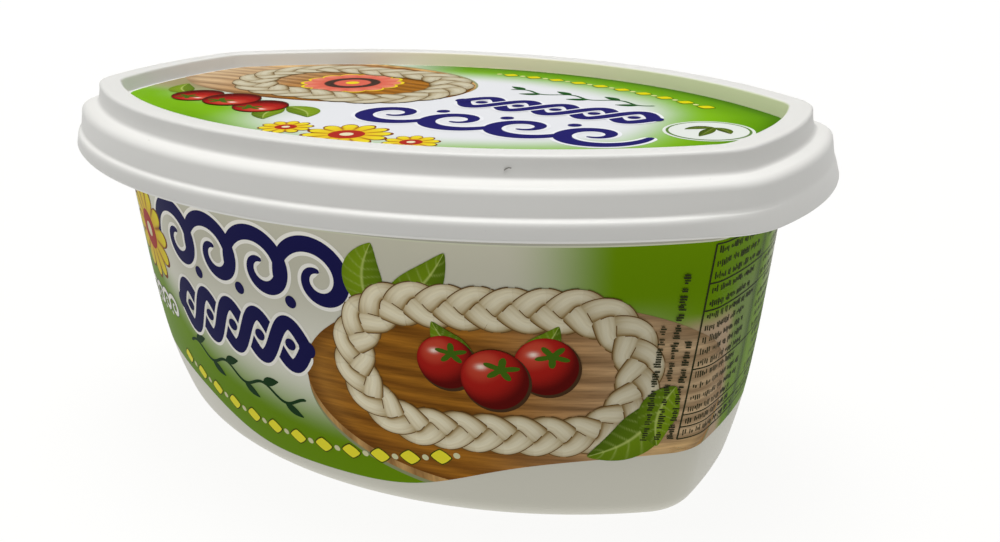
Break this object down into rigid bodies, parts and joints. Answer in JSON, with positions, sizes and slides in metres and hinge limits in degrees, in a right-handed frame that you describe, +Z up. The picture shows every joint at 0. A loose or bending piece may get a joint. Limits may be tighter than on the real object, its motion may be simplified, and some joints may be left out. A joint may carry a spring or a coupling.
{
  "type": "shut oval tub of twisted string cheese",
  "caption": "Shut oval plastic food tub with a stepped press-on lid, tapered walls and a printed label, as twisted string cheese is sold in.",
  "frame": {"origin": "middle of the tub's foot ring, on the surface that the tub stands on", "axes": "+X along the tub's length, -Y out of the side that carries the main label, +Z up through the lid"},
  "size_m": [0.1686, 0.1174, 0.0793],
  "materials": {
    "tub_plastic": "white moulded polypropylene, soft gloss",
    "lid_plastic": "white moulded polypropylene, soft gloss",
    "label_print": "printed in-mould label, satin gloss: white and green fields with navy, cream, red and brown shapes"
  },
  "bodies": {
    "root": {"tub": "tub_plastic", "lid": "lid_plastic"}
  },
  "joints": []
}
